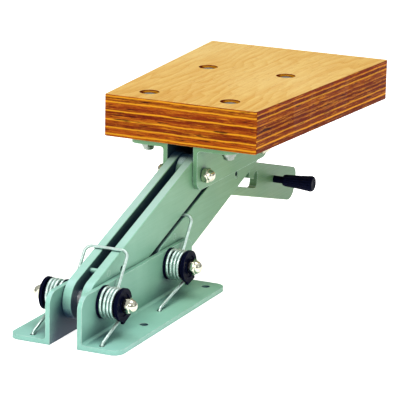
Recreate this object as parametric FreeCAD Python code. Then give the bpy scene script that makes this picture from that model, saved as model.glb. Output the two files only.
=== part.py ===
"""Spring-assisted lift bracket for an auxiliary outboard motor.

The bracket is drawn raised, with the transom lying in the XY plane: +Z points aft, away from the transom, +Y runs
up the transom angles, and +X runs along the pivot studs. The origin is the centre of the four transom bolts, on
the face that meets the transom. All sizes are millimetres and degrees.
"""
import FreeCAD, Part
import math
import os

os.makedirs("parts", exist_ok=True)

# ---- angle section, shared by the transom angles and the motor angles ----
ANGLE_WALL = 50.8            # height of the leg that carries the pivots
ANGLE_FLANGE = 44.45         # width of the leg that is bolted down
ANGLE_T = 4.8                # thickness of both legs
ANGLE_ROOT_R = 3.0           # fillet inside the corner
FLANGE_CORNER_R = 11.0       # free corners of a flange
WALL_CORNER_R = 13.0         # free corners of a wall

# ---- transom angles ----
FRONT_TO_PIVOT = 44.0        # front end to the near pivot
PIVOT_TO_BACK = 53.0         # far pivot to the back end
PIVOT_HEIGHT = 35.7          # pivot axis above the transom
PIVOT_SPACING = 145.0        # near pivot to far pivot, the same on both pairs of angles
TRANSOM_HOLE_FIRST = 85.0    # front end to the first row of bolt holes
TRANSOM_HOLE_LAST = 15.5     # last row of bolt holes to the back end
TRANSOM_HOLE_SPACING_X = 85.0
TRANSOM_HOLE_D = 8.6

# ---- motor angles and board ----
MOTOR_ANGLE_BEFORE = 15.4    # near end to the near upper pivot
MOTOR_ANGLE_AFTER = 22.0     # far upper pivot to the far end
MOTOR_ANGLE_WALL = 47.6      # height of the leg that carries the upper pivots
MOTOR_PIVOT_DROP = 32.6      # board's underside down to the upper pivots
BOARD_T = 44.45
BOARD_NEAR_WIDTH = 170.0
BOARD_FAR_WIDTH = 215.0
BOARD_DEPTH = 313.0
BOARD_OVERHANG = 19.5        # near edge of the board to the near upper pivot
BOARD_EDGE_R = 1.2
BOARD_CORNER_R = 3.0         # upright corners
BOARD_BOLT_SPACING_X = 91.0
BOARD_BOLT_OFFSET = 10.8     # pivot to the bolt row beyond it
BOARD_BOLT_SHIFT = -3.0      # the bolt holes are drilled this far off the middle
BOARD_BOLT_D = 7.94
BOARD_BOLT_CLEARANCE = 0.3
COUNTERBORE_D = 20.6
HEAD_D = 18.2
HEAD_RIM_H = 2.6             # straight rim of the head
HEAD_CROWN_H = 1.8           # crown on the rim
HEAD_RECESS = 1.2            # board's top down to the head's crown
BOARD_WASHER_D = 19.0
BOARD_WASHER_T = 1.6
BOARD_NUT_AF = 12.7
BOARD_NUT_HEX_H = 6.7
BOARD_NUT_COLLAR_D = 11.3    # the lock nut's round collar
BOARD_NUT_COLLAR_H = 2.8
BOARD_NUT_COLLAR_R = 1.1
BOLT_TAIL = 0.4              # thread beyond the nut

# ---- arms ----
ARM_SIDE_CLEARANCE = 0.3     # arm bar to wall
ARM_BAR_T = 9.4
ARM_BAR_W = 41.0
ARM_BAR_EDGE_R = 1.0
ARM_LENGTH = 234.0           # pivot to pivot
ARM_REST_ANGLE = 18.5        # above the transom face, fully raised
SPACER_D = 16.0
RIVET_D = 6.0
RIVET_ALONG = 27.0           # from the lower pivot
RIVET_EDGE = 7.0             # from the bar's upper edge
CROSS_HOLE_D = 6.4           # open hole through the near arm
CROSS_HOLE_ALONG = 52.2      # from the lower pivot
CROSS_HOLE_ABOVE = 2.3       # above the bar's middle

# ---- studs and acorn nuts ----
STUD_D = 9.52
RUNNING_CLEARANCE = 0.05     # radial, in a bore that turns on a stud
SEAT_CLEARANCE = 0.04        # radial, in a bore that doesn't turn
ACORN_WALL = 2.39            # stud to the nut's flats
ACORN_HEX_H = 7.2
ACORN_DOME_WALL = 1.74
ACORN_BORE_DEPTH = 8.6
STUD_IN_NUT = 8.0

# ---- torsion springs ----
WIRE_D = 3.18
COIL_MEAN_R = 14.0
COIL_TURNS = 3               # whole turns of the fixed coil, beyond the bail's own ring
COIL_TURN_GAP = 0.42         # between one turn and the next
COIL_GAP = 0.2               # bail's ring to its neighbours
COIL_START = -100.0          # where the fixed coil starts, turned from +Y towards +Z
SPOOL_FLANGE_T = 1.8
SPOOL_FLANGE_R = 16.0
SPOOL_CORE_GAP = 0.7         # wire to spool, radial
CAP_T = 3.2
CAP_RECESS_R = 11.2
CAP_RECESS = 1.0
CAP_LUG_L = 8.0
CAP_LUG_W = 5.0
BAIL_ANGLE = 54.0            # direction of the bail's legs above the transom face
BAIL_CORNER_R = 7.0
BAIL_SEAT_GAP = 0.08         # bail to the arm's upper edge
RING_SWEEP = 340.0
NEAR_HOOK_FROM_END = 8.0     # front end to the near hook hole
FAR_HOOK_BEFORE = 58.0       # far pivot back to its hook hole
HOOK_HOLE_CLEARANCE = 1.0    # radial
HOOK_LIFT = 0.4              # leg above the flange at its hook
HOOK_R = 4.0
HOOK_FOOT = 0.5              # the hook's end above the transom
LEG_EASE_R = 60.0            # bend that aims the leg from the coil at its hook hole

# ---- latch ----
LATCH_T = 8.8
LATCH_SIDE_CLEARANCE = 0.4   # latch bar to an arm bar
LATCH_W = 38.1
LATCH_REST_ANGLE = -15.0
LATCH_TOP_R = 10.0
LATCH_BOTTOM_R = 16.0
LATCH_EDGE_R = 0.9
PIN_D = 9.5
PIN_REACH = 98.0             # near upper pivot to the pin, raised
PIN_SEAT = 4.5               # the seated pin above the bar's middle
PIN_TRACK = -4.3             # the sliding pin above the bar's middle
PIN_SLOT_CLEARANCE = 0.4
PIN_INSET = 0.2              # bar's outer face to the pin's end
PIN_HOLE_D = 5.4             # blind hole in the pin's end
PIN_HOLE_DEPTH = 6.0
LATCH_STEPS = (0.0, 32.0, 64.0, 94.0)    # swings of the arm that have a notch
GRIP_PAST_SLOT = 48.94       # slot's end to the grip's middle
GRIP_TO_END = 64.0           # grip's middle to the latch bar's end
GRIP_ABOVE = 3.0
GRIP_STUD_D = 7.9
GRIP_CLEARANCE = 1.6         # grip to the far arm's outer face, which it swings past
GRIP_L = 36.0
GRIP_STUD_IN = 0.6           # share of the grip that the stud reaches into
GRIP_D0 = 13.0
GRIP_D1 = 18.0
GRIP_RIBS = 14
GRIP_RIB_DEPTH = 0.7

# ---- places that follow from the sizes ----
TRANSOM_ANGLE_LENGTH = FRONT_TO_PIVOT + PIVOT_SPACING + PIVOT_TO_BACK
TRANSOM_HOLE_SPACING_Y = TRANSOM_ANGLE_LENGTH - TRANSOM_HOLE_FIRST - TRANSOM_HOLE_LAST
Y0 = -(TRANSOM_HOLE_FIRST + TRANSOM_HOLE_SPACING_Y / 2.0)   # front end of the transom angles
BAR_IN = LATCH_T / 2.0 + LATCH_SIDE_CLEARANCE
BAR_OUT = BAR_IN + ARM_BAR_T
WALL_IN = BAR_OUT + ARM_SIDE_CLEARANCE
WALL_OUT = WALL_IN + ANGLE_T
NEAR_LOWER = (Y0 + FRONT_TO_PIVOT, PIVOT_HEIGHT)
FAR_LOWER = (NEAR_LOWER[0] + PIVOT_SPACING, PIVOT_HEIGHT)
ARM_COS = math.cos(math.radians(ARM_REST_ANGLE))
ARM_SIN = math.sin(math.radians(ARM_REST_ANGLE))
NEAR_UPPER = (NEAR_LOWER[0] + ARM_LENGTH * ARM_COS, PIVOT_HEIGHT + ARM_LENGTH * ARM_SIN)
FAR_UPPER = (NEAR_UPPER[0] + PIVOT_SPACING, NEAR_UPPER[1])
BOARD_Z0 = NEAR_UPPER[1] + MOTOR_PIVOT_DROP
BOARD_Z1 = BOARD_Z0 + BOARD_T
BOARD_Y0 = NEAR_UPPER[0] - BOARD_OVERHANG
COUNTERBORE_DEPTH = HEAD_RIM_H + HEAD_CROWN_H + HEAD_RECESS
STUD_R = STUD_D / 2.0
ACORN_AF = STUD_D + 2.0 * ACORN_WALL
ACORN_DOME_R = STUD_R + ACORN_DOME_WALL
WIRE_R = WIRE_D / 2.0
CORE_R = COIL_MEAN_R - WIRE_R - SPOOL_CORE_GAP
SPOOL_IN = WALL_OUT + SPOOL_FLANGE_T
RING_X = SPOOL_IN + COIL_GAP + WIRE_R
COIL_X = RING_X + WIRE_D + COIL_GAP
COIL_PITCH = WIRE_D + COIL_TURN_GAP
COIL_END = COIL_X + COIL_PITCH * COIL_TURNS
CAP_X = COIL_END + WIRE_R    # the cap's inner face, just outside the coil
HOOK_X = COIL_END - 0.1 * COIL_PITCH
NEAR_HOOK_BEFORE = FRONT_TO_PIVOT - NEAR_HOOK_FROM_END
LATCH_PLACE = (NEAR_UPPER[0], NEAR_UPPER[1], LATCH_REST_ANGLE)


def vec(x, y, z):
    """Return a FreeCAD vector."""
    return FreeCAD.Vector(x, y, z)


def export(shape, name):
    """Write one solid to parts/, after checking that it is a single valid solid."""
    solids = shape.Solids
    if len(solids) != 1 or not solids[0].isValid():
        raise RuntimeError("%s is not one valid solid: %d" % (name, len(solids)))
    solids[0].exportStep("parts/%s.step" % name)


def mirrored(shape):
    """Return the shape mirrored across the middle plane x = 0."""
    return shape.mirror(vec(0, 0, 0), vec(1, 0, 0))


def pair(shape, name):
    """Export a right-hand piece and its left-hand mirror image."""
    export(shape, name + "_right")
    export(mirrored(shape), name + "_left")


def rod(y, z, radius, x0, x1):
    """Return a cylinder along X."""
    return Part.makeCylinder(radius, x1 - x0, vec(x0, y, z), vec(1, 0, 0))


def peg(x, y, radius, z0, z1):
    """Return a cylinder along Z."""
    return Part.makeCylinder(radius, z1 - z0, vec(x, y, z0), vec(0, 0, 1))


def hex_prism(across_flats, height):
    """Return a hexagonal prism along +Z, standing on the origin."""
    corner = across_flats / math.sqrt(3.0)
    points = [vec(corner * math.cos(math.radians(60 * i)), corner * math.sin(math.radians(60 * i)), 0)
              for i in range(7)]
    prism = Part.Face(Part.makePolygon(points)).extrude(vec(0, 0, height))
    crown = Part.makeCone(corner * 1.6, corner * 0.93, height, vec(0, 0, 0), vec(0, 0, 1))
    foot = Part.makeCone(corner * 0.97, corner * 1.7, height, vec(0, 0, 0), vec(0, 0, 1))
    return prism.common(crown).common(foot)


def soften(shape, radius, keep):
    """Round the edges that keep() picks."""
    edges = [e for e in shape.Edges if keep(e)]
    return shape.makeFillet(radius, edges) if edges else shape


def placed(shape, y, z, angle):
    """Turn a shape about X by the angle and move its origin to (y, z)."""
    moved = shape.copy()
    moved.rotate(vec(0, 0, 0), vec(1, 0, 0), angle)
    moved.translate(vec(0, y, z))
    return moved


def outline(points, radii, normal):
    """Return a face with the given corners, each rounded by its own radius.

    The corners run round the face, and each arc is tangent to both of its sides.
    """
    edges, joins = [], []
    count = len(points)
    for i, (corner, radius) in enumerate(zip(points, radii)):
        back = (points[i - 1] - corner).normalize()
        ahead = (points[(i + 1) % count] - corner).normalize()
        if radius <= 0:
            joins.append((corner, corner))
            continue
        half = back.getAngle(ahead) / 2.0
        reach = radius / math.tan(half)
        start, end = corner + back * reach, corner + ahead * reach
        middle = corner + (back + ahead).normalize() * (radius / math.sin(half) - radius)
        edges.append(Part.Arc(start, middle, end).toShape())
        joins.append((start, end))
    for i in range(count):
        a, b = joins[i][1], joins[(i + 1) % count][0]
        if (b - a).Length > 1e-6:
            edges.append(Part.LineSegment(a, b).toShape())
    face = Part.Face(Part.Wire(Part.__sortEdges__(edges)))
    return face


def angle_section(length, height, wall_holes, flange_holes):
    """Return a right-hand angle whose flange lies on z = 0 and runs along +Y from y = 0.

    Args:
        length: length along Y.
        height: height of the wall.
        wall_holes: (y, z, radius) of the holes through the wall.
        flange_holes: (x, y, radius) of the holes through the flange.
    """
    flange = outline([vec(WALL_IN, 0, 0), vec(WALL_IN + ANGLE_FLANGE, 0, 0),
                      vec(WALL_IN + ANGLE_FLANGE, length, 0), vec(WALL_IN, length, 0)],
                     [0, FLANGE_CORNER_R, FLANGE_CORNER_R, 0], vec(0, 0, 1)).extrude(vec(0, 0, ANGLE_T))
    wall = outline([vec(WALL_IN, 0, 0), vec(WALL_IN, length, 0),
                    vec(WALL_IN, length, height), vec(WALL_IN, 0, height)],
                   [0, 0, WALL_CORNER_R, WALL_CORNER_R], vec(1, 0, 0)).extrude(vec(ANGLE_T, 0, 0))
    angle = wall.fuse(flange).removeSplitter()
    root = [e for e in angle.Edges
            if all(abs(v.Point.x - WALL_OUT) < 1e-6 and abs(v.Point.z - ANGLE_T) < 1e-6 for v in e.Vertexes)]
    angle = angle.makeFillet(ANGLE_ROOT_R, root)
    for y, z, radius in wall_holes:
        angle = angle.cut(rod(y, z, radius, WALL_IN - 1, WALL_OUT + 1))
    for x, y, radius in flange_holes:
        angle = angle.cut(peg(x, y, radius, -1, ANGLE_T + 1))
    return angle


def transom_angles():
    """Export the two angles that are bolted to the transom."""
    near, far = FRONT_TO_PIVOT, FRONT_TO_PIVOT + PIVOT_SPACING
    bore = STUD_R + SEAT_CLEARANCE
    hook = WIRE_R + HOOK_HOLE_CLEARANCE
    bolt_x = TRANSOM_HOLE_SPACING_X / 2.0
    angle = angle_section(
        TRANSOM_ANGLE_LENGTH, ANGLE_WALL,
        [(near, PIVOT_HEIGHT, bore), (far, PIVOT_HEIGHT, bore)],
        [(bolt_x, TRANSOM_HOLE_FIRST, TRANSOM_HOLE_D / 2.0),
         (bolt_x, TRANSOM_HOLE_FIRST + TRANSOM_HOLE_SPACING_Y, TRANSOM_HOLE_D / 2.0),
         (HOOK_X, near - NEAR_HOOK_BEFORE, hook), (HOOK_X, far - FAR_HOOK_BEFORE, hook)])
    angle.translate(vec(0, Y0, 0))
    pair(angle, "transom_angle")


def motor_angles():
    """Export the two angles under the board: the same section turned over."""
    length = MOTOR_ANGLE_BEFORE + PIVOT_SPACING + MOTOR_ANGLE_AFTER
    bore = STUD_R + SEAT_CLEARANCE
    bolt_r = BOARD_BOLT_D / 2.0 + BOARD_BOLT_CLEARANCE
    rows = [MOTOR_ANGLE_BEFORE + BOARD_BOLT_OFFSET, MOTOR_ANGLE_BEFORE + BOARD_BOLT_OFFSET + PIVOT_SPACING]
    for side, name in ((1, "motor_angle_right"), (-1, "motor_angle_left")):
        bolt_x = BOARD_BOLT_SPACING_X / 2.0 + side * BOARD_BOLT_SHIFT
        angle = angle_section(
            length, MOTOR_ANGLE_WALL,
            [(MOTOR_ANGLE_BEFORE, MOTOR_PIVOT_DROP, bore),
             (MOTOR_ANGLE_BEFORE + PIVOT_SPACING, MOTOR_PIVOT_DROP, bore)],
            [(bolt_x, row, bolt_r) for row in rows])
        angle = angle.mirror(vec(0, 0, 0), vec(0, 0, 1))
        angle.translate(vec(0, NEAR_UPPER[0] - MOTOR_ANGLE_BEFORE, BOARD_Z0))
        export(angle if side > 0 else mirrored(angle), name)


def board():
    """Export the plywood board and the carriage bolts that hold it."""
    near, far, y1 = BOARD_NEAR_WIDTH / 2.0, BOARD_FAR_WIDTH / 2.0, BOARD_Y0 + BOARD_DEPTH
    corners = [vec(-near, BOARD_Y0, BOARD_Z0), vec(near, BOARD_Y0, BOARD_Z0), vec(far, y1, BOARD_Z0),
               vec(-far, y1, BOARD_Z0)]
    slab = outline(corners, [BOARD_CORNER_R] * 4, vec(0, 0, 1)).extrude(vec(0, 0, BOARD_T))
    slab = soften(slab, BOARD_EDGE_R,
                  lambda e: max(abs(v.Point.z - e.Vertexes[0].Point.z) for v in e.Vertexes) < 1e-6)
    head_z = BOARD_Z1 - COUNTERBORE_DEPTH
    shank = BOARD_BOLT_D / 2.0
    index = 0
    for row in (NEAR_UPPER[0] + BOARD_BOLT_OFFSET, FAR_UPPER[0] + BOARD_BOLT_OFFSET):
        for x in (BOARD_BOLT_SHIFT - BOARD_BOLT_SPACING_X / 2.0, BOARD_BOLT_SHIFT + BOARD_BOLT_SPACING_X / 2.0):
            index += 1
            slab = slab.cut(peg(x, row, COUNTERBORE_D / 2.0, head_z, BOARD_Z1 + 1))
            slab = slab.cut(peg(x, row, shank + BOARD_BOLT_CLEARANCE, BOARD_Z0 - 1, BOARD_Z1))
            washer_z = BOARD_Z0 - ANGLE_T - BOARD_WASHER_T
            hex_z = washer_z - BOARD_NUT_HEX_H
            nut_z = hex_z - BOARD_NUT_COLLAR_H
            ball_r = (HEAD_D * HEAD_D / 4.0 + HEAD_CROWN_H * HEAD_CROWN_H) / (2.0 * HEAD_CROWN_H)
            crown = Part.makeSphere(ball_r, vec(x, row, BOARD_Z1 - HEAD_RECESS - ball_r))
            head = crown.common(peg(x, row, HEAD_D / 2.0 - 0.1, head_z, BOARD_Z1 + 5))
            export(head.fuse(peg(x, row, shank, nut_z - BOLT_TAIL, head_z)), "board_bolt_%d" % index)
            washer = peg(x, row, BOARD_WASHER_D / 2.0, washer_z, washer_z + BOARD_WASHER_T)
            export(washer.cut(peg(x, row, shank + BOARD_BOLT_CLEARANCE, washer_z - 1, BOARD_Z0)),
                   "board_washer_%d" % index)
            nut = hex_prism(BOARD_NUT_AF, BOARD_NUT_HEX_H)
            nut.translate(vec(x, row, hex_z))
            collar = soften(peg(x, row, BOARD_NUT_COLLAR_D / 2.0, nut_z, hex_z + 1.0), BOARD_NUT_COLLAR_R,
                            lambda e: e.Closed and abs(e.Vertexes[0].Point.z - nut_z) < 1e-6)
            nut = nut.fuse(collar).removeSplitter()
            export(nut.cut(peg(x, row, shank + SEAT_CLEARANCE, nut_z - 1, washer_z + 1)), "board_nut_%d" % index)
    export(slab, "board")


def acorn_nut(x, place):
    """Return an acorn nut whose flat face stands at x and whose dome points to +X."""
    nut = hex_prism(ACORN_AF, ACORN_HEX_H).fuse(Part.makeSphere(ACORN_DOME_R, vec(0, 0, ACORN_HEX_H - 0.6)))
    nut = nut.cut(Part.makeBox(60, 60, 30, vec(-30, -30, -30)))
    nut = nut.cut(Part.makeCylinder(STUD_R + SEAT_CLEARANCE, ACORN_BORE_DEPTH + 1, vec(0, 0, -1), vec(0, 0, 1)))
    nut.rotate(vec(0, 0, 0), vec(0, 1, 0), 90)
    nut.translate(vec(x, place[0], place[1]))
    return nut


def studs():
    """Export the four pivot studs and their acorn nuts."""
    lower_out = CAP_X + CAP_T
    for name, place, out in (("near_lower", NEAR_LOWER, lower_out), ("far_lower", FAR_LOWER, lower_out),
                             ("near_upper", NEAR_UPPER, WALL_OUT), ("far_upper", FAR_UPPER, WALL_OUT)):
        end = out + STUD_IN_NUT
        export(rod(place[0], place[1], STUD_R, -end, end), name + "_stud")
        pair(acorn_nut(out, place), name + "_nut")


def arm(name, pivot):
    """Export the two bars of one arm with its spacer and its rivet."""
    half = ARM_BAR_W / 2.0
    bar = outline([vec(BAR_IN, -half, -half), vec(BAR_IN, ARM_LENGTH + half, -half),
                   vec(BAR_IN, ARM_LENGTH + half, half), vec(BAR_IN, -half, half)],
                  [half - 0.001] * 4, vec(1, 0, 0)).extrude(vec(ARM_BAR_T, 0, 0))
    bar = soften(bar, ARM_BAR_EDGE_R,
                 lambda e: max(abs(v.Point.x - e.Vertexes[0].Point.x) for v in e.Vertexes) < 1e-6)
    rivet_z = half - RIVET_EDGE
    bore = STUD_R + RUNNING_CLEARANCE
    holes = [(0, 0, bore), (ARM_LENGTH, 0, bore), (RIVET_ALONG, rivet_z, RIVET_D / 2.0 + 0.02)]
    if name == "near_arm":
        holes.append((CROSS_HOLE_ALONG, CROSS_HOLE_ABOVE, CROSS_HOLE_D / 2.0))
    for y, z, radius in holes:
        bar = bar.cut(rod(y, z, radius, BAR_IN - 1, BAR_OUT + 1))
    if name == "far_arm":
        along, across = pin_on_arm()
        bar = bar.cut(rod(along, across, PIN_D / 2.0 + 0.02, BAR_IN - 1, BAR_OUT + 1))
        pin_end = BAR_OUT - PIN_INSET
        stub = rod(along, across, PIN_D / 2.0, BAR_IN, pin_end)
        stub = stub.cut(rod(along, across, PIN_HOLE_D / 2.0, pin_end - PIN_HOLE_DEPTH, pin_end + 1))
        pair(placed(stub, pivot[0], pivot[1], ARM_REST_ANGLE), "latch_pin")
    pair(placed(bar, pivot[0], pivot[1], ARM_REST_ANGLE), name + "_bar")
    spacer = rod(0, 0, SPACER_D / 2.0, -BAR_IN, BAR_IN).cut(rod(0, 0, bore, -BAR_IN - 1, BAR_IN + 1))
    export(placed(spacer, pivot[0], pivot[1], ARM_REST_ANGLE), name + "_spacer")
    rivet = rod(RIVET_ALONG, rivet_z, RIVET_D / 2.0, -BAR_OUT, BAR_OUT)
    export(placed(rivet, pivot[0], pivot[1], ARM_REST_ANGLE), name + "_rivet")


def pin_from_near_upper(swing):
    """Return the (y, z) of the latch pin from the near upper pivot after the arms swing."""
    turn = math.radians(ARM_REST_ANGLE + swing)
    along, across = pin_on_arm()
    back = ARM_LENGTH - along
    return (PIVOT_SPACING - back * math.cos(turn) - across * math.sin(turn),
            -back * math.sin(turn) + across * math.cos(turn))


def pin_on_arm():
    """Return the latch pin's place in the far arm, along it from the lower pivot and above its middle."""
    aim = math.radians(LATCH_REST_ANGLE) + math.asin(PIN_SEAT / PIN_REACH)
    dy = PIN_REACH * math.cos(aim) - PIVOT_SPACING
    dz = PIN_REACH * math.sin(aim)
    return ARM_LENGTH + dy * ARM_COS + dz * ARM_SIN, -dy * ARM_SIN + dz * ARM_COS


def cylinder_between(a, b, radius):
    """Return a cylinder from point a to point b."""
    return Part.makeCylinder(radius, (b - a).Length, a, b - a)


def bend(centre, axis, start, sweep, radius):
    """Return a bent wire: a disc at start, swept round the axis through the centre."""
    tangent = axis.cross(start - centre)
    disc = Part.Face(Part.Wire(Part.Circle(start, tangent, radius).toShape()))
    return disc.revolve(centre, axis, sweep)


def bail(name, pivot):
    """Export one spring's bail: a ring round each spool, two legs and the bar that presses on the arm."""
    aim = math.radians(BAIL_ANGLE)
    ahead = vec(0, math.cos(aim), math.sin(aim))
    touch = vec(0, COIL_MEAN_R * math.sin(aim), -COIL_MEAN_R * math.cos(aim))
    up = vec(0, -ARM_SIN, ARM_COS)
    seat = ARM_BAR_W / 2.0 + BAIL_SEAT_GAP + WIRE_R
    reach = (seat - touch.dot(up)) / ahead.dot(up)
    start = touch + vec(RING_X, 0, 0)
    corner = start + ahead * (reach - BAIL_CORNER_R)
    leg = cylinder_between(start, corner, WIRE_R)
    ring = bend(vec(RING_X, 0, 0), vec(-1, 0, 0), start, RING_SWEEP, WIRE_R)
    turn_axis = ahead.cross(vec(-1, 0, 0))
    elbow = bend(corner + vec(-BAIL_CORNER_R, 0, 0), turn_axis, corner, 90, WIRE_R)
    tip = corner + vec(-BAIL_CORNER_R, 0, 0) + ahead * BAIL_CORNER_R
    half = leg.fuse([ring, elbow, cylinder_between(tip, vec(0, tip.y, tip.z), WIRE_R)])
    whole = half.fuse(mirrored(half)).removeSplitter()
    export(placed(whole, pivot[0], pivot[1], 0), name + "_bail")


def ease_towards(start, heading, target, radius):
    """Return an arc that leaves start along heading and ends aimed at the target, and the arc's end."""
    offset = target - start
    along = offset.dot(heading)
    side = offset - heading * along
    across = side.Length
    side.normalize()
    reach = math.hypot(along, radius - across)
    turn = math.atan2(along, radius - across) - math.acos(radius / reach)

    def point(angle):
        return start + heading * (radius * math.sin(angle)) + side * (radius * (1.0 - math.cos(angle)))

    end = point(turn)
    return Part.Arc(start, point(turn / 2.0), end).toShape(), end


def spring(name, pivot, hook_before):
    """Export the fixed coils, spools and caps of one double torsion spring."""
    hook = (-hook_before, ANGLE_T + WIRE_R + HOOK_LIFT - pivot[1])
    distance = math.hypot(hook[0], hook[1])
    slope = math.atan2(-hook[1], -hook[0]) - math.asin(COIL_MEAN_R / distance)
    leave = slope - math.pi / 2.0
    begin = math.radians(COIL_START)
    extra = (begin - leave) / (2.0 * math.pi)
    turns = COIL_TURNS + extra
    # the coil is wound about Z, then laid along X so that it winds back from the bail's angle
    helix = Part.makeHelix(COIL_PITCH, COIL_PITCH * turns, COIL_MEAN_R)
    helix = helix.mirror(vec(0, 0, 0), vec(0, 1, 0))
    helix.rotate(vec(0, 0, 0), vec(0, 0, 1), math.degrees(begin))
    helix = helix.transformed(FreeCAD.Matrix(0, 0, 1, COIL_X, 1, 0, 0, pivot[0], 0, 1, 0, pivot[1], 0, 0, 0, 1), True)
    creep = COIL_PITCH / (2.0 * math.pi * COIL_MEAN_R)
    first = vec(COIL_X, pivot[0] + COIL_MEAN_R * math.cos(begin), pivot[1] + COIL_MEAN_R * math.sin(begin))
    last = vec(COIL_X + COIL_PITCH * turns, pivot[0] + COIL_MEAN_R * math.cos(leave),
               pivot[1] + COIL_MEAN_R * math.sin(leave))
    heading = vec(creep, math.sin(leave), -math.cos(leave)).normalize()
    knee = vec(HOOK_X, pivot[0] + hook[0], pivot[1] + hook[1])
    easing, ease_end = ease_towards(last, heading, knee, LEG_EASE_R)
    run = (knee - ease_end).normalize()
    down = vec(0, 0, -1)
    turn = run.getAngle(down)
    back = HOOK_R * math.tan(turn / 2.0)
    bend_start, bend_end = knee - run * back, knee + down * back
    inward = (down - run).normalize()
    bend_middle = knee + inward * (HOOK_R / math.cos(turn / 2.0) - HOOK_R)
    edges = list(helix.Edges) + [easing, Part.LineSegment(ease_end, bend_start).toShape(),
                                 Part.Arc(bend_start, bend_middle, bend_end).toShape()]
    if bend_end.z > HOOK_FOOT + 0.2:
        edges.append(Part.LineSegment(bend_end, vec(bend_end.x, bend_end.y, HOOK_FOOT)).toShape())
    normal = vec(creep, math.sin(begin), -math.cos(begin))
    # two half circles, so that no face of the wire closes on itself
    ring = Part.Circle(first, normal, WIRE_R)
    profile = Part.Wire([Part.ArcOfCircle(ring, math.pi * half, math.pi * (half + 1)).toShape() for half in range(2)])
    pair(Part.Wire(edges).makePipeShell([profile], True, False), name + "_coil")

    bore = rod(pivot[0], pivot[1], STUD_R + SEAT_CLEARANCE, WALL_OUT - 1, 100)
    spool = rod(pivot[0], pivot[1], SPOOL_FLANGE_R, WALL_OUT, SPOOL_IN)
    spool = spool.fuse(rod(pivot[0], pivot[1], CORE_R, SPOOL_IN, CAP_X)).removeSplitter().cut(bore)
    pair(spool, name + "_spool")
    out = CAP_X + CAP_T
    disc = rod(pivot[0], pivot[1], SPOOL_FLANGE_R, CAP_X, out)
    lug = Part.makeBox(CAP_T, CAP_LUG_L * 2.0, CAP_LUG_W, vec(CAP_X, -CAP_LUG_L, -SPOOL_FLANGE_R - 1.2))
    lug.rotate(vec(0, 0, 0), vec(1, 0, 0), math.degrees(slope))
    lug.translate(vec(0, pivot[0], pivot[1]))
    disc = disc.fuse(lug).removeSplitter()
    disc = disc.cut(rod(pivot[0], pivot[1], CAP_RECESS_R, out - CAP_RECESS, out + 1)
                    .cut(rod(pivot[0], pivot[1], ACORN_AF * 0.56, out - CAP_RECESS - 1, out + 1)))
    pair(disc.cut(bore), name + "_cap")


def latch():
    """Export the latch bar with its notched slot, the grip stud and the ribbed grip."""
    half = LATCH_W / 2.0
    thick = LATCH_T / 2.0
    slot_r = PIN_D / 2.0 + PIN_SLOT_CLEARANCE
    last = math.hypot(*pin_from_near_upper(LATCH_STEPS[-1]))
    grip_along = math.sqrt(last * last - PIN_TRACK * PIN_TRACK) + slot_r + GRIP_PAST_SLOT
    length = grip_along + GRIP_TO_END
    bar = outline([vec(-thick, -half, -half), vec(-thick, length, -half),
                   vec(-thick, length, half), vec(-thick, -half, half)],
                  [half - 0.001, LATCH_BOTTOM_R, LATCH_TOP_R, half - 0.001], vec(1, 0, 0)).extrude(vec(LATCH_T, 0, 0))
    bar = soften(bar, LATCH_EDGE_R,
                 lambda e: max(abs(v.Point.x - e.Vertexes[0].Point.x) for v in e.Vertexes) < 1e-6)
    bar = bar.cut(rod(0, 0, STUD_R + RUNNING_CLEARANCE, -thick - 1, thick + 1))
    tracks = []
    for swing in LATCH_STEPS:
        y, z = pin_from_near_upper(swing)
        radius = math.hypot(y, z)
        seat = math.sqrt(radius * radius - PIN_SEAT * PIN_SEAT)
        track = math.sqrt(radius * radius - PIN_TRACK * PIN_TRACK)
        tracks.append(track)
        bar = bar.cut(rod(seat, PIN_SEAT, slot_r, -thick - 1, thick + 1))
        notch = Part.makeBox(LATCH_T + 2, 2 * slot_r, PIN_SEAT - PIN_TRACK, vec(-thick - 1, seat - slot_r, PIN_TRACK))
        bar = bar.cut(notch)
    for end in (tracks[0], tracks[-1]):
        bar = bar.cut(rod(end, PIN_TRACK, slot_r, -thick - 1, thick + 1))
    bar = bar.cut(Part.makeBox(LATCH_T + 2, tracks[-1] - tracks[0], 2 * slot_r,
                               vec(-thick - 1, tracks[0], PIN_TRACK - slot_r)))
    stud_r = GRIP_STUD_D / 2.0
    bar = bar.cut(rod(grip_along, GRIP_ABOVE, stud_r + SEAT_CLEARANCE, -thick - 1, thick + 1)).removeSplitter()
    grip_x = BAR_OUT + GRIP_CLEARANCE
    stud = rod(grip_along, GRIP_ABOVE, stud_r, -thick, grip_x + GRIP_L * GRIP_STUD_IN)
    body = Part.makeCone(GRIP_D0 / 2.0, GRIP_D1 / 2.0, GRIP_L, vec(0, 0, 0), vec(1, 0, 0))
    body = soften(body, 1.2, lambda e: e.Closed and abs(e.Vertexes[0].Point.x - GRIP_L) < 1e-6)
    for i in range(GRIP_RIBS):
        turn = 2.0 * math.pi * i / GRIP_RIBS
        flare = math.atan2((GRIP_D1 - GRIP_D0) / 2.0, GRIP_L)
        reach = GRIP_D0 / 2.0 + 0.5
        groove = Part.makeCylinder(GRIP_RIB_DEPTH, GRIP_L * 1.2, vec(3.0, reach * math.cos(turn), reach * math.sin(turn)),
                                   vec(math.cos(flare), math.sin(flare) * math.cos(turn), math.sin(flare) * math.sin(turn)))
        body = body.cut(groove)
    body.translate(vec(grip_x, grip_along, GRIP_ABOVE))
    body = body.cut(rod(grip_along, GRIP_ABOVE, stud_r + SEAT_CLEARANCE, thick, grip_x + GRIP_L * GRIP_STUD_IN))
    for name, shape in (("latch_bar", bar), ("latch_grip_stud", stud), ("latch_grip", body)):
        export(placed(shape, *LATCH_PLACE), name)


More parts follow.
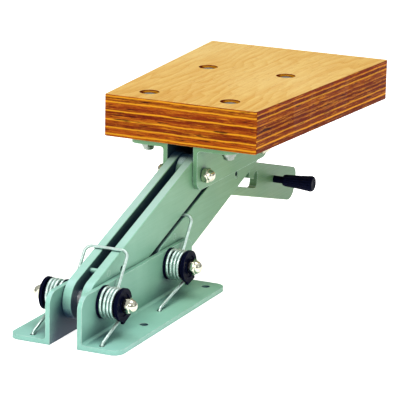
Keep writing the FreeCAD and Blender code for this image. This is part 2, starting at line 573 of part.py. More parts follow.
def main():
    """Build and export every piece, and print the places that the joints turn about."""
    transom_angles()
    motor_angles()
    board()
    studs()
    arm("near_arm", NEAR_LOWER)
    arm("far_arm", FAR_LOWER)
    bail("near_spring", NEAR_LOWER)
    bail("far_spring", FAR_LOWER)
    spring("near_spring", NEAR_LOWER, NEAR_HOOK_BEFORE)
    spring("far_spring", FAR_LOWER, FAR_HOOK_BEFORE)
    latch()
    print("near lower %.4f %.4f, far lower %.4f %.4f" % (NEAR_LOWER + FAR_LOWER))
    print("near upper %.4f %.4f, far upper %.4f %.4f" % (NEAR_UPPER + FAR_UPPER))
    print("front end %.4f, holes %.4f by %.4f" % (Y0, TRANSOM_HOLE_SPACING_X, TRANSOM_HOLE_SPACING_Y))


main()
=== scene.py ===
"""Finishes and details for a spring-assisted outboard motor lift bracket.

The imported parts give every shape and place. This script dresses them, makes the acorn nuts, the board's nuts and
the ribbed grip as finer pieces, and sets up a plain studio.
"""
from __future__ import annotations

import logging
import math
from dataclasses import dataclass, field
from enum import Enum
from typing import Any, Callable, Iterable, Sequence

import bmesh
import bpy
from mathutils import Matrix, Vector

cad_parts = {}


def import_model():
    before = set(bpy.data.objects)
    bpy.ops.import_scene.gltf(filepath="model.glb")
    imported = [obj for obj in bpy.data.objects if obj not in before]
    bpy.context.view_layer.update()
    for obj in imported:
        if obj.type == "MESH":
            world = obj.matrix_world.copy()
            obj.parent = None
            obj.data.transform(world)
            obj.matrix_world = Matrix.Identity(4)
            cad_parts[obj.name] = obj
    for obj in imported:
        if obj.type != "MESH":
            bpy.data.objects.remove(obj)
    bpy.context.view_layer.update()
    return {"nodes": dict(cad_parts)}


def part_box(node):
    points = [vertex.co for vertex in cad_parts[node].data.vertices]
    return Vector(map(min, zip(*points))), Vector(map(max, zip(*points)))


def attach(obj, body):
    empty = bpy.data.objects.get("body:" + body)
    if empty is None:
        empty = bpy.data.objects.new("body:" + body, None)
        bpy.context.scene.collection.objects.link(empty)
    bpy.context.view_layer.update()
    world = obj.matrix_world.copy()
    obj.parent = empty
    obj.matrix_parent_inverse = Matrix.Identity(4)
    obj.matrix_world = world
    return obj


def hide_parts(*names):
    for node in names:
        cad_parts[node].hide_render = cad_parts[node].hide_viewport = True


log = logging.getLogger("lift_bracket")

Colour = tuple[float, float, float]
Socket = bpy.types.NodeSocket

WHITE: Colour = (1.0, 1.0, 1.0)
CREASE = math.radians(28)     # edges sharper than this aren't smoothed
WELD = 1e-7                   # points nearer than this, in metres, are one
HEXAGON_SIDE = math.pi / 3.0  # the angle that one side of a nut takes up


def tone(red: int, green: int, blue: int) -> Colour:
    """Turn a paint-chart colour, 0 to 255 a channel, into the linear values that shaders take."""

    def linear(value: int) -> float:
        """Return one channel's linear value."""
        v = value / 255.0
        return v / 12.92 if v <= 0.04045 else ((v + 0.055) / 1.055) ** 2.4

    return linear(red), linear(green), linear(blue)


def rgba(colour: Colour) -> tuple[float, float, float, float]:
    """Return an opaque four-channel colour."""
    return (*colour, 1.0)


class Recipe:
    """Builds one node material, one step at a time."""

    def __init__(self, name: str) -> None:
        """Start an empty material with a surface shader and the piece's own coordinates."""
        self.material = bpy.data.materials.new(name)
        self.material.use_nodes = True
        self.nodes = self.material.node_tree.nodes
        self.links = self.material.node_tree.links
        self.nodes.clear()
        self.out = self.add("ShaderNodeOutputMaterial")
        self.shader = self.add("ShaderNodeBsdfPrincipled")
        self.link(self.shader.outputs[0], self.out.inputs[0])
        self.place: Socket = self.add("ShaderNodeTexCoord").outputs["Object"]

    def add(self, kind: str, **settings: Any) -> bpy.types.Node:
        """Add a node.

        Args:
            kind: the node's type name.
            settings: properties set on the node itself.

        Returns:
            The new node.
        """
        node = self.nodes.new(kind)
        for key, value in settings.items():
            setattr(node, key, value)
        return node

    def link(self, source: Socket, target: Socket) -> None:
        """Join an output to an input."""
        self.links.new(source, target)

    def feed(self, target: Socket, value: Any) -> None:
        """Give an input a linked socket or a plain value."""
        if isinstance(value, bpy.types.NodeSocket):
            self.link(value, target)
        else:
            target.default_value = value

    def surface(self, **values: Any) -> None:
        """Set the surface shader's inputs by name, with spaces written as underscores."""
        for key, value in values.items():
            self.feed(self.shader.inputs[key.replace("_", " ")], value)

    def stretch(self, scale: Sequence[float], shift: Sequence[float] = (0.0, 0.0, 0.0)) -> Socket:
        """Return the piece's coordinates scaled and moved."""
        node = self.add("ShaderNodeMapping")
        self.link(self.place, node.inputs["Vector"])
        node.inputs["Scale"].default_value = scale
        node.inputs["Location"].default_value = shift
        return node.outputs[0]

    def noise(self, vector: Socket, scale: float, detail: float = 3.0, rough: float = 0.5,
              warp: float = 0.0) -> Socket:
        """Return a cloudy value between 0 and 1."""
        node = self.add("ShaderNodeTexNoise")
        self.link(vector, node.inputs["Vector"])
        node.inputs["Scale"].default_value = scale
        node.inputs["Detail"].default_value = detail
        node.inputs["Roughness"].default_value = rough
        node.inputs["Distortion"].default_value = warp
        return node.outputs["Fac"]

    def cells(self, vector: Socket, scale: float) -> Socket:
        """Return the distance to the nearest of many scattered points."""
        node = self.add("ShaderNodeTexVoronoi")
        self.link(vector, node.inputs["Vector"])
        node.inputs["Scale"].default_value = scale
        return node.outputs["Distance"]

    def math(self, operation: str, first: Any, second: Any = 0.0) -> Socket:
        """Return a sum, product or other operation on two values."""
        node = self.add("ShaderNodeMath", operation=operation)
        self.feed(node.inputs[0], first)
        self.feed(node.inputs[1], second)
        return node.outputs[0]

    def range(self, value: Socket, low: float, high: float, to_low: float = 0.0, to_high: float = 1.0) -> Socket:
        """Return a value rescaled from one range to another, held at its ends."""
        node = self.add("ShaderNodeMapRange")
        self.link(value, node.inputs["Value"])
        for name, number in (("From Min", low), ("From Max", high), ("To Min", to_low), ("To Max", to_high)):
            node.inputs[name].default_value = number
        return node.outputs[0]

    def ramp(self, value: Socket, stops: Sequence[tuple[float, Colour]]) -> Socket:
        """Return a colour read from a ramp."""
        node = self.add("ShaderNodeValToRGB")
        ramp = node.color_ramp
        while len(ramp.elements) > 1:
            ramp.elements.remove(ramp.elements[-1])
        ramp.elements[0].position = stops[0][0]
        ramp.elements[0].color = rgba(stops[0][1])
        for at, colour in stops[1:]:
            ramp.elements.new(at).color = rgba(colour)
        self.link(value, node.inputs[0])
        return node.outputs[0]

    def mix(self, share: Any, first: Any, second: Any) -> Socket:
        """Return two colours mixed by a share."""
        node = self.add("ShaderNodeMix", data_type="RGBA")
        self.feed(node.inputs[0], share)
        for index, value in ((6, first), (7, second)):
            self.feed(node.inputs[index], rgba(value) if isinstance(value, tuple) else value)
        return node.outputs[2]

    def axis(self, source: Socket, name: str) -> Socket:
        """Return one component, X, Y or Z, of a vector."""
        node = self.add("ShaderNodeSeparateXYZ")
        self.link(source, node.inputs[0])
        return node.outputs[name]

    def facing(self, name: str) -> Socket:
        """Return how squarely the surface faces along an axis, either way."""
        normal = self.add("ShaderNodeNewGeometry").outputs["True Normal"]
        return self.math("ABSOLUTE", self.axis(normal, name))

    def leaning(self, direction: Sequence[float]) -> Socket:
        """Return how much the surface leans towards a direction, from -1 to 1."""
        node = self.add("ShaderNodeVectorMath", operation="DOT_PRODUCT")
        self.link(self.add("ShaderNodeNewGeometry").outputs["True Normal"], node.inputs[0])
        node.inputs[1].default_value = Vector(direction).normalized()
        return node.outputs["Value"]

    def rounded(self, radius: float) -> Socket:
        """Return the surface normal with its edges rounded by a radius in metres."""
        node = self.add("ShaderNodeBevel", samples=6)
        node.inputs["Radius"].default_value = radius
        return node.outputs[0]

    def edge(self, radius: float) -> Socket:
        """Return 1 along sharp edges and 0 on open faces."""
        node = self.add("ShaderNodeVectorMath", operation="DOT_PRODUCT")
        self.link(self.rounded(radius), node.inputs[0])
        self.link(self.add("ShaderNodeNewGeometry").outputs["True Normal"], node.inputs[1])
        return self.range(node.outputs["Value"], 0.995, 0.86)

    def openness(self, distance: float) -> Socket:
        """Return 1 where the surface is open to the air and less down to 0 deep in a gap."""
        node = self.add("ShaderNodeAmbientOcclusion", samples=8)
        node.inputs["Distance"].default_value = distance
        return node.outputs["AO"]

    def relief(self, height: Socket, strength: float, depth: float, normal: Socket) -> Socket:
        """Return a normal bent by a height pattern, depth in metres."""
        node = self.add("ShaderNodeBump")
        node.inputs["Strength"].default_value = strength
        node.inputs["Distance"].default_value = depth
        self.link(height, node.inputs["Height"])
        self.link(normal, node.inputs["Normal"])
        return node.outputs[0]


class Grain(Enum):
    """The way a bar or an extrusion was drawn, which its faint lines follow."""

    ALONG = (900.0, 14.0, 900.0)
    AROUND = (1400.0, 160.0, 160.0)


@dataclass(frozen=True)
class SageCoat:
    """Pale green coating over extruded aluminium, bluer at the transom and yellower under the board; painted shade and
    painted highlights are part of its colour.
    """

    name: str = "sage_coat"
    # Colour by height and depth: part the coat's own tint, part painted shade and painted reflection, darkest under the
    # board.
    tint_and_shade: tuple[tuple[float, Colour], ...] = (
        (0.0, tone(142, 198, 186)), (0.3, tone(134, 186, 162)), (0.5, tone(118, 166, 134)),
        (0.78, tone(94, 134, 82)), (1.0, tone(74, 110, 70)))
    # Pale edges: worn coat and painted highlight.
    edge_wear_and_highlight: Colour = tone(206, 230, 220)
    # Painted highlight on faces that lean to the front and up.
    front_highlight: Colour = tone(190, 216, 222)
    # Painted shade, near-black navy, in the arm slots and in deep gaps.
    gap_shade: Colour = tone(8, 38, 64)
    grain: Grain = Grain.ALONG
    edge_radius: float = 0.0011
    # The direction that the faces with the painted highlight lean towards.
    highlight_facing: tuple[float, float, float] = (0.0, -0.55, 0.83)
    # Where the painted shade on the slot walls fades, across and along the arms, and how far the gap shade reaches.
    slot_wall: tuple[float, float] = (0.0047, 0.0054)
    slot_end: tuple[float, float] = (0.16, 0.18)
    gap_reach: float = 0.05

    def material(self) -> bpy.types.Material:
        """Return the coating as a material.

        The coat drifts in colour along the arms, part tint and part painted shade and painted reflection. Painted shade
        makes it dark on the walls of the slots and in deep gaps and darker on upright faces; painted highlights lighten
        its edges and the faces that lean to the front and up.
        """
        r = Recipe(self.name)
        # The coat's tint mixed with painted shade and painted reflection, by height and depth.
        way_up = r.math("ADD", r.axis(r.place, "Y"), r.math("MULTIPLY", r.axis(r.place, "Z"), 1.2))
        coat = r.ramp(r.range(way_up, -0.14, 0.42), self.tint_and_shade)
        cloud = r.noise(r.place, 22.0, 4.0, 0.55, 0.4)
        coat = r.mix(r.range(cloud, 0.3, 0.75, 0.0, 0.3), coat, tone(104, 148, 124))
        lines = r.noise(r.stretch(self.grain.value), 1.0, 2.0, 0.6)
        coat = r.mix(r.range(lines, 0.35, 0.75, 0.0, 0.14), coat, tone(170, 204, 186))
        specks = r.range(r.cells(r.stretch((1.0, 1.0, 1.0), (0.3, 0.1, 0.2)), 420.0), 0.04, 0.11, 1.0, 0.0)
        patchy = r.range(r.noise(r.place, 60.0, 2.0), 0.56, 0.66)
        coat = r.mix(r.math("MULTIPLY", specks, r.math("MULTIPLY", patchy, 0.5)), coat, tone(80, 104, 92))
        # Worn chips and painted highlight along the edges.
        chips_and_highlight = r.math("MULTIPLY", r.edge(self.edge_radius),
                       r.range(r.noise(r.place, 130.0, 5.0, 0.7), 0.42, 0.6, 0.35, 1.0))
        coat = r.mix(r.math("MULTIPLY", chips_and_highlight, 0.8), coat, self.edge_wear_and_highlight)
        # Painted highlight, paler and bluer, on the higher faces that lean to the front and up.
        highlight_mask = r.math("MULTIPLY", r.range(r.leaning(self.highlight_facing), 0.93, 0.99),
                        r.range(r.axis(r.place, "Z"), 0.045, 0.09, 0.3, 0.85))
        coat = r.mix(r.math("MULTIPLY", highlight_mask, r.range(cloud, 0.2, 0.7, 1.0, 0.6)), coat, self.front_highlight)
        # Painted shade: upright faces darker than level ones.
        coat = r.mix(r.range(r.facing("Z"), 0.35, 0.1, 0.0, 0.24), coat, tone(52, 92, 66))
        # Painted shade: dark on the inner walls of the arm slots, and in gaps through an occlusion node.
        wall, clear = self.slot_wall
        inside = r.range(r.math("ABSOLUTE", r.axis(r.place, "X")), clear, wall, 0.0, 1.0)
        near_part = r.range(r.axis(r.place, "Y"), *self.slot_end, 1.0, 0.0)
        shade_share = r.math("MAXIMUM", r.range(r.openness(self.gap_reach), 0.54, 0.28, 0.0, 0.97),
                      r.math("MULTIPLY", r.math("MULTIPLY", inside, near_part),
                             r.range(r.facing("X"), 0.9, 0.99, 0.0, 0.8)))
        coat = r.mix(shade_share, coat, self.gap_shade)
        peel = r.math("ADD", r.math("MULTIPLY", r.noise(r.place, 900.0, 2.0), 0.6), r.math("MULTIPLY", lines, 0.4))
        rough = r.math("ADD", r.range(cloud, 0.25, 0.8, 0.36, 0.5), r.math("MULTIPLY", lines, 0.06))
        r.surface(Base_Color=coat, Roughness=rough, Metallic=0.2, Specular_IOR_Level=0.35,
                  Normal=r.relief(peel, 0.12, 0.0003, r.rounded(0.0006)))
        return r.material


@dataclass(frozen=True)
class PlyBands:
    """The plies of one board edge, as (depth from the top face in shares of the thickness, colour)."""

    bands: tuple[tuple[float, Colour], ...]

    def stops(self, soft: float = 0.007) -> list[tuple[float, Colour]]:
        """Return ramp stops that hold each ply's colour and turn quickly at its glue line."""
        stops: list[tuple[float, Colour]] = []
        for index, (start, colour) in enumerate(self.bands):
            end = self.bands[index + 1][0] if index + 1 < len(self.bands) else 1.0
            stops.append((min(start + (soft if index else 0.0), end), colour))
            stops.append((max(end - soft, start), colour))
        return stops


GOLD = tone(198, 132, 22)
END_EDGE = PlyBands((
    (0.0, tone(128, 44, 6)), (0.022, GOLD), (0.056, tone(142, 74, 6)), (0.148, GOLD), (0.186, tone(150, 70, 8)),
    (0.262, tone(124, 46, 4)), (0.355, GOLD), (0.394, tone(112, 38, 2)), (0.48, tone(142, 64, 6)), (0.565, GOLD),
    (0.602, tone(138, 62, 4)), (0.68, tone(112, 40, 4)), (0.752, GOLD), (0.788, tone(150, 68, 6)), (0.905, GOLD),
    (0.945, tone(144, 70, 8))))
LONG_EDGE = PlyBands((
    (0.0, tone(118, 40, 6)), (0.085, tone(190, 116, 26)), (0.118, tone(96, 30, 6)), (0.2, tone(188, 124, 26)),
    (0.236, tone(128, 56, 10)), (0.345, tone(176, 104, 26)), (0.378, tone(104, 38, 8)), (0.452, tone(152, 84, 18)),
    (0.49, tone(90, 26, 6)), (0.55, tone(160, 88, 20)), (0.59, tone(96, 30, 6)), (0.68, tone(192, 124, 26)),
    (0.716, tone(118, 48, 8)), (0.83, tone(204, 134, 30)), (0.87, tone(98, 34, 8))))


@dataclass(frozen=True)
class MarinePly:
    """Oiled plywood: a flamed face veneer, and edges that show every ply and its glue lines."""

    name: str = "marine_ply"
    bottom: float = 0.1425
    thickness: float = 0.04445
    veneer: Colour = tone(204, 168, 92)
    flame: Colour = tone(174, 122, 46)
    pale: Colour = tone(212, 186, 120)
    end_streak: Colour = tone(92, 18, 2)
    glow_streak: Colour = tone(212, 134, 24)

    def face(self, r: Recipe) -> tuple[Socket, Socket]:
        """Return the veneer's colour and the height of its grain."""
        bend = r.noise(r.stretch((9.0, 3.2, 1.0)), 1.0, 4.0, 0.55, 0.5)
        across = r.math("ADD", r.math("MULTIPLY", r.axis(r.place, "X"), 78.0), r.math("MULTIPLY", bend, 11.0))
        rings = r.math("FRACT", across)
        late = r.math("MULTIPLY", r.range(rings, 0.25, 0.9), r.range(rings, 1.0, 0.92))
        fibre = r.noise(r.stretch((520.0, 16.0, 520.0)), 1.0, 5.0, 0.7)
        coarse = r.noise(r.stretch((150.0, 6.0, 150.0), (0.3, 0.7, 0.1)), 1.0, 3.0, 0.6)
        flecks = r.range(r.noise(r.stretch((1300.0, 70.0, 1300.0)), 1.0, 2.0, 0.6), 0.60, 0.70)
        patch = r.noise(r.stretch((7.0, 4.0, 7.0), (0.4, 0.2, 0.0)), 1.0, 3.0)
        colour = r.mix(r.range(patch, 0.35, 0.7, 0.0, 0.7), self.veneer, self.pale)
        broken = r.math("MULTIPLY", late, r.range(patch, 0.66, 0.36, 0.2, 0.9))
        colour = r.mix(r.math("MULTIPLY", broken, 0.5), colour, self.flame)
        colour = r.mix(r.range(coarse, 0.46, 0.72, 0.0, 0.42), colour, tone(184, 128, 50))
        colour = r.mix(r.range(fibre, 0.38, 0.72, 0.0, 0.4), colour, tone(176, 120, 54))
        colour = r.mix(r.math("MULTIPLY", flecks, 0.5), colour, tone(136, 84, 36))
        height = r.math("ADD", r.math("MULTIPLY", fibre, 0.6), r.math("MULTIPLY", late, 0.4))
        return colour, height

    def edge(self, r: Recipe, bands: PlyBands, shift: float) -> Socket:
        """Return the colour of an edge, with its plies in order and streaks along them.

        Args:
            r: the recipe to add to.
            bands: the plies of this edge.
            shift: moves the streaks, so that two edges differ.
        """
        sway = r.noise(r.stretch((26.0, 26.0, 8.0), (shift, shift, 0.0)), 1.0, 3.0)
        depth = r.math("DIVIDE", r.math("SUBTRACT", self.bottom + self.thickness, r.axis(r.place, "Z")), self.thickness)
        depth = r.math("ADD", depth, r.range(sway, 0.2, 0.8, -0.014, 0.014))
        colour = r.ramp(depth, bands.stops())
        streak = r.noise(r.stretch((34.0, 34.0, 820.0), (shift, shift, 0.0)), 1.0, 5.0, 0.72)
        parts = r.add("ShaderNodeSeparateColor")
        r.link(colour, parts.inputs[0])
        dark_ply = r.range(parts.outputs["Green"], 0.22, 0.13, 0.1, 0.85)
        colour = r.mix(r.math("MULTIPLY", r.range(streak, 0.50, 0.66), dark_ply), colour, self.end_streak)
        colour = r.mix(r.range(streak, 0.47, 0.34, 0.0, 0.6), colour, self.glow_streak)
        pores = r.noise(r.stretch((150.0, 150.0, 1500.0), (shift, 0.0, 0.0)), 1.0, 4.0, 0.65)
        colour = r.mix(r.math("MULTIPLY", r.range(pores, 0.52, 0.66), dark_ply), colour, tone(72, 16, 0))
        splits = r.range(r.noise(r.stretch((30.0, 30.0, 420.0), (1.0, 2.0, shift)), 1.0, 2.0), 0.64, 0.7, 0.0, 0.85)
        return r.mix(splits, colour, tone(34, 4, 2))

    def material(self) -> bpy.types.Material:
        """Return the board's material."""
        r = Recipe(self.name)
        veneer, grain = self.face(r)
        ends = self.edge(r, END_EDGE, 0.7)
        sides = self.edge(r, LONG_EDGE, 3.1)
        edge_colour = r.mix(r.range(r.facing("Y"), 0.45, 0.55), sides, ends)
        is_face = r.range(r.facing("Z"), 0.6, 0.9)
        colour = r.mix(is_face, edge_colour, veneer)
        lip = r.math("MULTIPLY", r.edge(0.0014), r.range(r.noise(r.place, 70.0, 3.0), 0.35, 0.65, 0.2, 0.9))
        colour = r.mix(r.math("MULTIPLY", lip, 0.55), colour, tone(146, 62, 10))
        saw = r.noise(r.stretch((70.0, 70.0, 1400.0)), 1.0, 3.0, 0.6)
        height = r.add("ShaderNodeMix", data_type="FLOAT")
        r.link(is_face, height.inputs[0])
        r.link(saw, height.inputs[2])
        r.link(grain, height.inputs[3])
        r.surface(Base_Color=colour, Roughness=r.range(grain, 0.2, 0.8, 0.55, 0.75), Specular_IOR_Level=0.06,
                  Normal=r.relief(height.outputs[0], 0.35, 0.0005, r.rounded(0.0012)))
        return r.material


@dataclass(frozen=True)
class BrightMetal:
    """Bare metal with fine turning or drawing lines, faint handling marks and painted dark reflections."""

    name: str
    colour: Colour
    roughness: float
    grain: Grain = Grain.AROUND
    edge_radius: float = 0.0004

    def material(self) -> bpy.types.Material:
        """Return the metal as a material."""
        r = Recipe(self.name)
        lines = r.noise(r.stretch(self.grain.value), 1.0, 3.0, 0.6)
        # Smudges: they darken the colour as handling marks and painted dark reflection, and vary the roughness.
        marks_and_reflections = r.noise(r.place, 180.0, 4.0, 0.6, 0.6)
        colour = r.mix(r.range(marks_and_reflections, 0.4, 0.7, 0.0, 0.6), self.colour, tuple(c * 0.5 for c in self.colour))
        colour = r.mix(r.range(lines, 0.5, 0.8, 0.0, 0.2), colour, tuple(min(1.0, c * 1.15) for c in self.colour))
        rough = r.math("ADD", r.range(marks_and_reflections, 0.3, 0.8, self.roughness * 0.7, self.roughness * 1.4),
                       r.math("MULTIPLY", lines, 0.05))
        r.surface(Base_Color=colour, Metallic=1.0, Roughness=rough,
                  Normal=r.relief(lines, 0.15, 0.0001, r.rounded(self.edge_radius)))
        return r.material


@dataclass(frozen=True)
class DarkNylon:
    """Moulded blue-black nylon with a fine spark-eroded skin and paler rubbed edges."""

    name: str = "dark_nylon"
    colour: Colour = tone(4, 6, 26)
    rubbed: Colour = tone(26, 32, 66)

    def material(self) -> bpy.types.Material:
        """Return the nylon as a material."""
        r = Recipe(self.name)
        cloud = r.noise(r.place, 240.0, 3.0, 0.55)
        colour = r.mix(r.range(cloud, 0.4, 0.7, 0.0, 0.4), self.colour, tone(8, 9, 20))
        rub = r.math("MULTIPLY", r.edge(0.0007), r.range(r.noise(r.place, 500.0, 3.0), 0.4, 0.65, 0.2, 0.8))
        colour = r.mix(rub, colour, self.rubbed)
        skin = r.noise(r.place, 2600.0, 2.0, 0.6)
        r.surface(Base_Color=colour, Roughness=r.range(cloud, 0.3, 0.7, 0.34, 0.5), Specular_IOR_Level=0.015,
                  Normal=r.relief(skin, 0.2, 0.0001, r.rounded(0.0005)))
        return r.material


@dataclass(frozen=True)
class StudioPaper:
    """Matt white paper for the floor."""

    name: str = "studio_paper"
    colour: Colour = (0.9, 0.9, 0.9)
    glow: float = 0.75

    def material(self) -> bpy.types.Material:
        """Return the paper as a material."""
        r = Recipe(self.name)
        fibre = r.noise(r.place, 90.0, 4.0, 0.6)
        r.surface(Base_Color=r.mix(r.range(fibre, 0.3, 0.7), self.colour, tuple(c * 0.985 for c in self.colour)),
                  Roughness=0.95, Emission_Color=rgba(WHITE), Emission_Strength=self.glow)
        return r.material


@dataclass
class FinishShelf:
    """One material of each finish, shared by the pieces."""

    coat: bpy.types.Material = field(default_factory=lambda: SageCoat().material())
    ply: bpy.types.Material = field(default_factory=lambda: MarinePly().material())
    bolt_steel: bpy.types.Material = field(
        default_factory=lambda: BrightMetal("dull_steel", (0.30, 0.34, 0.30), 0.3).material())
    nut_steel: bpy.types.Material = field(
        default_factory=lambda: BrightMetal("bright_steel", (0.66, 0.65, 0.52), 0.1).material())
    wire: bpy.types.Material = field(
        default_factory=lambda: BrightMetal("spring_wire", (0.60, 0.75, 0.70), 0.42).material())
    turned: bpy.types.Material = field(
        default_factory=lambda: BrightMetal("turned_aluminium", (0.66, 0.67, 0.68), 0.34).material())
    nylon: bpy.types.Material = field(default_factory=lambda: DarkNylon().material())
    paper: bpy.types.Material = field(default_factory=lambda: StudioPaper().material())


def dress(names: Iterable[str], nodes: dict[str, bpy.types.Object], material: bpy.types.Material) -> None:
    """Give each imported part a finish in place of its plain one."""
    for name in names:
        mesh = nodes[name].data
        mesh.materials.clear()
        mesh.materials.append(material)
        log.info("%s wears %s", name, material.name)


def piece_from(mesh_maker: Callable[[bmesh.types.BMesh], None], name: str,
               material: bpy.types.Material) -> bpy.types.Object:
    """Build a mesh in code and wrap it in a new object.

    Args:
        mesh_maker: fills an empty mesh with faces.
        name: the object's name.
        material: its finish.

    Returns:
        The new object, linked to the scene, with smooth faces and sharp creases.
    """
    mesh = bpy.data.meshes.new(name)
    bm = bmesh.new()
    mesh_maker(bm)
    bmesh.ops.remove_doubles(bm, verts=bm.verts, dist=WELD)
    bmesh.ops.recalc_face_normals(bm, faces=bm.faces)
    for face in bm.faces:
        face.smooth = True
    for edge in bm.edges:
        if len(edge.link_faces) == 2 and edge.calc_face_angle(0.0) > CREASE:
            edge.smooth = False
    bm.to_mesh(mesh)
    bm.free()
    mesh.materials.append(material)
    piece = bpy.data.objects.new(name, mesh)
    bpy.context.scene.collection.objects.link(piece)
    return piece


def turned_hexagon(bm: bmesh.types.BMesh, flats: float, stations: Sequence[tuple[float, float]],
                   around: int = 72) -> None:
    """Add a closed nut along +X: a hexagon that a turned profile cuts down, as a lathe chamfers bar stock.

    Args:
        bm: the mesh to add to.
        flats: distance across the flats, in metres.
        stations: (x, radius) of the turned profile, base first.
        around: points round the nut.
    """
    def ring(x: float, limit: float) -> list[bmesh.types.BMVert]:
        """Return one ring of points, on the hexagon or on the turned profile, whichever is further in."""
        points = []
        for i in range(around):
            turn = 2.0 * math.pi * i / around
            wedge = (turn + HEXAGON_SIDE / 2.0) % HEXAGON_SIDE - HEXAGON_SIDE / 2.0
            radius = min(limit, flats / 2.0 / math.cos(wedge))
            points.append(bm.verts.new((x, radius * math.cos(turn), radius * math.sin(turn))))
        return points

    rings = [ring(x, radius) for x, radius in stations]
    for first, second in zip(rings, rings[1:]):
        for i in range(around):
            j = (i + 1) % around
            bm.faces.new((first[i], first[j], second[j], second[i]))
    bm.faces.new(list(reversed(rings[0])))
    tip = bm.verts.new((stations[-1][0] + stations[-1][1] * 0.02, 0.0, 0.0))
    for i in range(around):
        bm.faces.new((rings[-1][i], rings[-1][(i + 1) % around], tip))


@dataclass(frozen=True)
class Seat:
    """Where one copy of a small piece stands, and how it is turned."""

    at: Vector
    turn: tuple[float, float, float]


class SetOut:
    """Sets copies of one small piece on their seats with a geometry tree."""

    def __init__(self) -> None:
        """Build the tree: an instance on each point, turned by the point's own angles."""
        self.tree = bpy.data.node_groups.new("set_out", "GeometryNodeTree")
        face = self.tree.interface
        face.new_socket("Seats", in_out="INPUT", socket_type="NodeSocketGeometry")
        face.new_socket("Copy", in_out="INPUT", socket_type="NodeSocketObject")
        face.new_socket("Size", in_out="INPUT", socket_type="NodeSocketFloat")
        face.new_socket("Finish", in_out="INPUT", socket_type="NodeSocketMaterial")
        face.new_socket("Geometry", in_out="OUTPUT", socket_type="NodeSocketGeometry")
        nodes, links = self.tree.nodes, self.tree.links
        given = nodes.new("NodeGroupInput").outputs
        one = nodes.new("GeometryNodeObjectInfo")
        links.new(given["Copy"], one.inputs["Object"])
        turn = nodes.new("GeometryNodeInputNamedAttribute")
        turn.data_type = "FLOAT_VECTOR"
        turn.inputs["Name"].default_value = "turn"
        as_turn = nodes.new("FunctionNodeEulerToRotation")
        links.new(turn.outputs["Attribute"], as_turn.inputs[0])
        spread = nodes.new("GeometryNodeInstanceOnPoints")
        links.new(given["Seats"], spread.inputs["Points"])
        links.new(one.outputs["Geometry"], spread.inputs["Instance"])
        links.new(as_turn.outputs[0], spread.inputs["Rotation"])
        links.new(given["Size"], spread.inputs["Scale"])
        real = nodes.new("GeometryNodeRealizeInstances")
        links.new(spread.outputs[0], real.inputs[0])
        finish = nodes.new("GeometryNodeSetMaterial")
        links.new(real.outputs[0], finish.inputs["Geometry"])
        links.new(given["Finish"], finish.inputs["Material"])
        links.new(finish.outputs[0], nodes.new("NodeGroupOutput").inputs[0])

    def piece(self, name: str, one: bpy.types.Object, seats: Sequence[Seat],
              material: bpy.types.Material) -> bpy.types.Object:
        """Return all the copies as one plain mesh object.

        Args:
            name: the new object's name.
            one: the small piece, built at the origin. It is removed afterwards.
            seats: where the copies go.
            material: their finish.
        """
        points = bpy.data.meshes.new(name + "_seats")
        points.from_pydata([seat.at for seat in seats], [], [])
        turns = points.attributes.new("turn", "FLOAT_VECTOR", "POINT")
        for index, seat in enumerate(seats):
            turns.data[index].vector = seat.turn
        host = bpy.data.objects.new(name + "_seats", points)
        bpy.context.scene.collection.objects.link(host)
        layer = host.modifiers.new("set_out", "NODES")
        layer.node_group = self.tree
        values = {"Copy": one, "Size": 1.0, "Finish": material}
        for item in self.tree.interface.items_tree:
            if item.item_type == "SOCKET" and item.in_out == "INPUT" and item.name in values:
                layer[item.identifier] = values[item.name]
        made = bpy.data.meshes.new_from_object(host.evaluated_get(bpy.context.evaluated_depsgraph_get()))
        made.name = name
        for extra in (host, one):
            bpy.data.objects.remove(extra)
        piece = bpy.data.objects.new(name, made)
        bpy.context.scene.collection.objects.link(piece)
        return piece


@dataclass
class AcornNut:
    """The acorn nut on the end of a pivot stud."""

    flats: float = 0.0143
    hex_height: float = 0.0072
    dome_radius: float = 0.0065
    dome_sink: float = 0.0006

    def stations(self) -> list[tuple[float, float]]:
        """Return the turned profile: a washer face, chamfers, a neck and the dome."""
        half = self.flats / 2.0
        rows = [(0.0, half * 0.93), (0.0004, half * 0.98), (0.0009, half * 1.06), (0.0017, half * 1.16),
                (self.hex_height - 0.0016, half * 1.16), (self.hex_height - 0.0008, half * 1.07),
                (self.hex_height - 0.0002, half * 0.97), (self.hex_height, half * 0.93)]
        centre = self.hex_height - self.dome_sink
        for i in range(13):
            rise = math.radians(6 + i * 6.7)
            rows.append((centre + self.dome_radius * math.sin(rise), self.dome_radius * math.cos(rise)))
        return rows

    def seats(self, nodes: Sequence[str]) -> list[Seat]:
        """Return a seat for each plain nut, with its dome pointing away from the middle."""
        seats = []
        for index, node in enumerate(nodes):
            low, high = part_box(node)
            middle = (low + high) / 2.0
            is_right = low.x > 0
            seats.append(Seat(Vector((low.x if is_right else high.x, middle.y, middle.z)),
                              (math.radians(17.0 + 23.0 * index), 0.0, 0.0 if is_right else math.pi)))
        return seats


